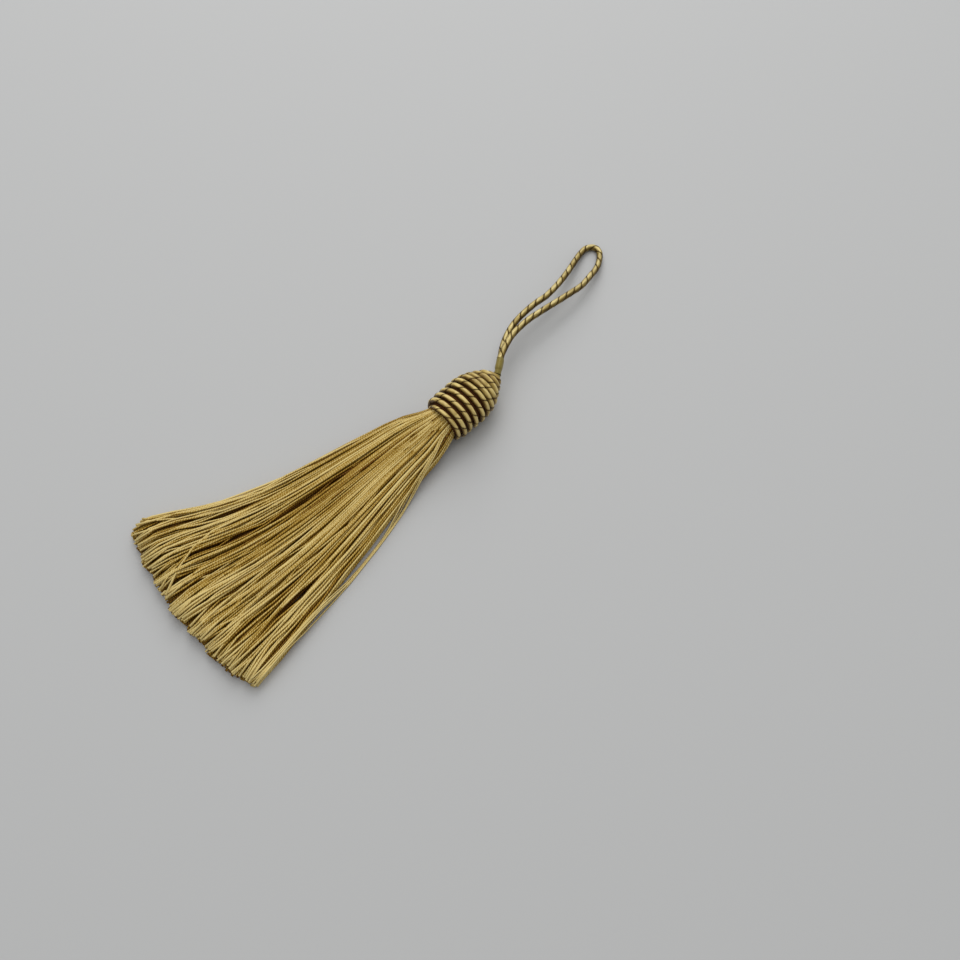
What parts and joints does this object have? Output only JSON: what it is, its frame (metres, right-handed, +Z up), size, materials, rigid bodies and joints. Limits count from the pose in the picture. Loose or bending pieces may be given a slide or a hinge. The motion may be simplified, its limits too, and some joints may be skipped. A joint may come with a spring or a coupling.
{
  "type": "tassel",
  "caption": "Gold silk tassel lying flat: a beehive head wound from cord, a long skirt of threads fanned out, and a hanging loop of bound cord.",
  "frame": {"origin": "under the middle of the wound head, on the table, at the middle of a turn's flat spot", "axes": "+X along the head from the skirt to the loop, +Z up from the table"},
  "size_m": [0.1528, 0.0524, 0.0127],
  "materials": {
    "gold_cord": "satin gimp cord with dark binding thread",
    "gold_thread": "twisted silk threads with a soft sheen",
    "olive_wrap": "close-wound silk",
    "loop_silk": "satin silk cord bound with fine dark thread"
  },
  "bodies": {
    "root": {"head_winding": "gold_cord", "skirt": "gold_thread", "loop_sleeve": "olive_wrap", "loop_cord": "loop_silk"}
  },
  "joints": []
}
